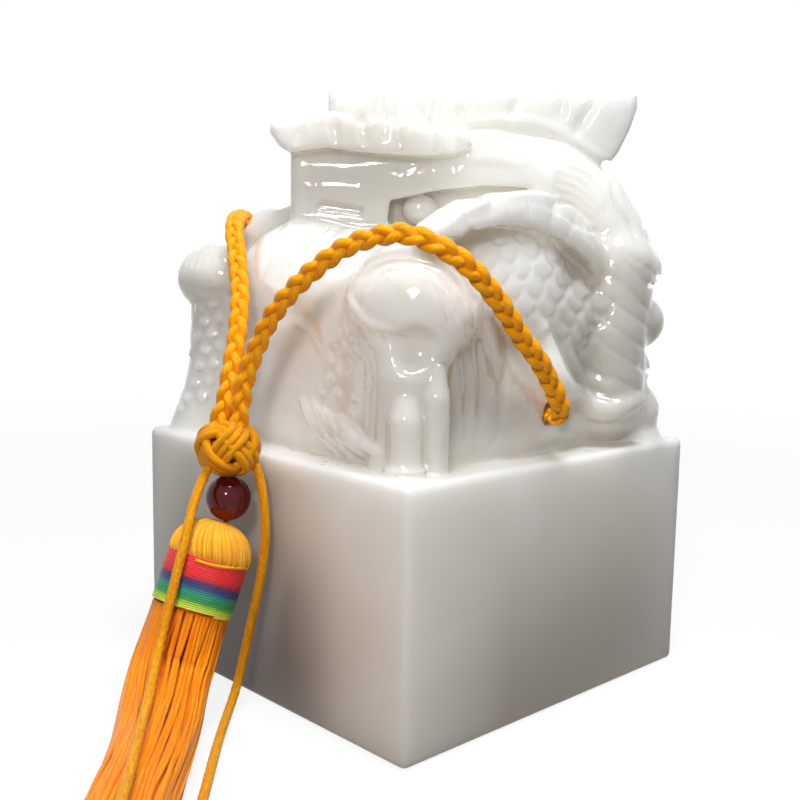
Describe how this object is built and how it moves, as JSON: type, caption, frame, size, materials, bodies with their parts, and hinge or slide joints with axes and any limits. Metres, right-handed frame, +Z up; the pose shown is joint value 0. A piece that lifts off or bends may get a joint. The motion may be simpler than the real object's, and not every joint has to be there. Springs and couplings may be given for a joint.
{
  "type": "seal stamp",
  "caption": "Square white jade seal stamp with a coiled dragon knob, a plaited silk carrying loop, a button knot, a dark red bead and an orange silk tassel.",
  "frame": {"origin": "centre of the square sealing face, which is the object's underside", "axes": "+Z is up, away from the sealing face; X and Y lie along the sides of the block; the cord bore runs along X; the tassel hangs in front of the -Y side"},
  "size_m": [0.1181, 0.179, 0.148],
  "materials": {
    "jade": "polished",
    "loop_silk": "satin",
    "knot_silk": "satin",
    "floss": "satin",
    "bead_red": "gloss",
    "thread_red": "satin",
    "thread_violet": "satin",
    "thread_green": "satin",
    "thread_yellow": "satin"
  },
  "bodies": {
    "seal": {"seal_stone": "jade", "loop_bore_run": "loop_silk", "loop_front_leg": "loop_silk", "loop_rear_leg": "loop_silk", "button_knot": "knot_silk"},
    "tassel": {"bead_cord": "knot_silk", "tassel_head": "floss", "winding_red": "thread_red", "winding_violet": "thread_violet", "winding_green": "thread_green", "winding_yellow": "thread_yellow", "tassel_skirt": "floss", "tail_left": "knot_silk", "tail_right": "knot_silk"},
    "bead": {"bead": "bead_red"}
  },
  "joints": [
    {"name": "tassel_swing", "type": "hinge", "parent": "seal", "child": "tassel", "pos_m": [0, -0.059, 0.062], "axis": [-0.7071, -0.7071, 0], "range_deg": [0, 70]},
    {"name": "bead_spin", "type": "hinge", "parent": "tassel", "child": "bead", "pos_m": [0, -0.059, 0.05045], "axis": [0, 0, 1], "continuous": true}
  ]
}
